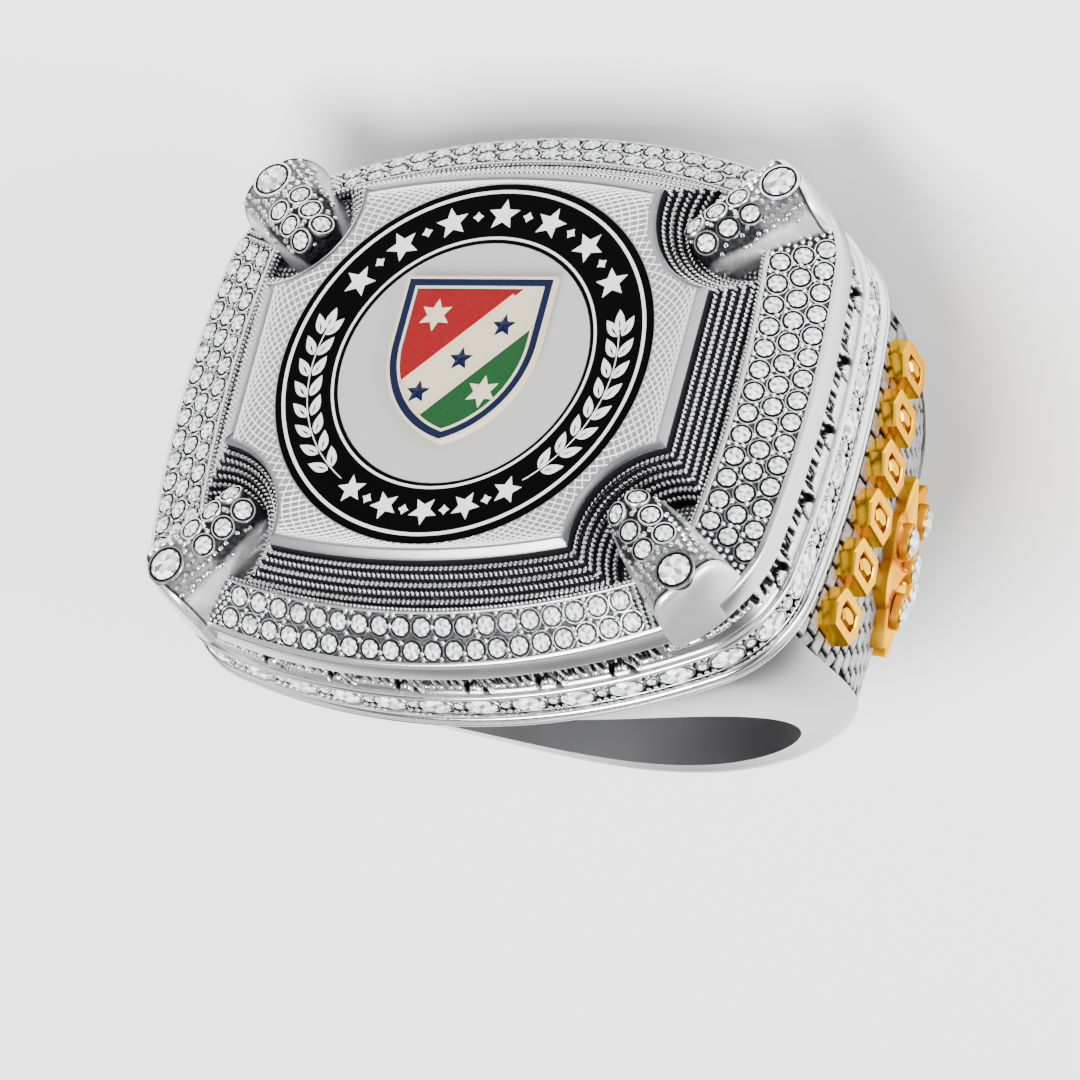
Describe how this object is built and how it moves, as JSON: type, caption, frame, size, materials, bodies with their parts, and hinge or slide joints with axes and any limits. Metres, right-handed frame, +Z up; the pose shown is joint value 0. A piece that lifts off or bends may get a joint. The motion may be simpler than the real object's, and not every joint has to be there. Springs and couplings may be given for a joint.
{
  "type": "class ring",
  "caption": "Heavy class ring with a wide cushion head, enamel face, a halo of small clear stones, corner claws and gold relief on its stepped sides, lying on its side.",
  "frame": {"origin": "middle of the ring's footprint, on the surface that it lies on", "axes": "+Z up from the surface, +X along the hand, across both side panels, -Y towards the ring's face. The finger hole's axis leans back from +Z towards +Y by 23.6 degrees"},
  "size_m": [0.0336, 0.0329, 0.0277],
  "materials": {
    "polished_silver": "polished, silver coloured cast alloy",
    "darkened_silver": "polished rails with blackened hollows",
    "engraved_silver": "finely engraved, with a bright rim",
    "panel_metal": "ribbed, blackened in the grooves",
    "gold": "polished gold plating, darkened in the hollows",
    "crystal": "cut and clear",
    "black_enamel": "glossy enamel",
    "white_enamel": "glossy enamel",
    "red_enamel": "glossy enamel",
    "green_enamel": "glossy enamel",
    "cream_enamel": "glossy enamel",
    "navy_enamel": "glossy enamel"
  },
  "bodies": {
    "root": {"shank": "polished_silver", "gallery": "darkened_silver", "stone_frame": "darkened_silver", "face_plate": "engraved_silver", "enamel_ring": "black_enamel", "centre_disc": "white_enamel", "crest_border": "navy_enamel", "crest_red": "red_enamel", "crest_green": "green_enamel", "crest_band": "cream_enamel", "side_panel_right": "panel_metal", "side_panel_left": "panel_metal", "gold_row_right": "gold", "gold_row_left": "gold", "gold_star_right": "gold", "gold_star_left": "gold", "star_stones_right": "crystal", "star_stones_left": "crystal", "frame_stones_sides": "crystal", "frame_stones_ends": "crystal", "channel_stones": "crystal", "claw_stones": "crystal", "claw_stone_1": "crystal", "claw_stone_2": "crystal", "claw_stone_3": "crystal", "claw_stone_4": "crystal"}
  },
  "joints": []
}
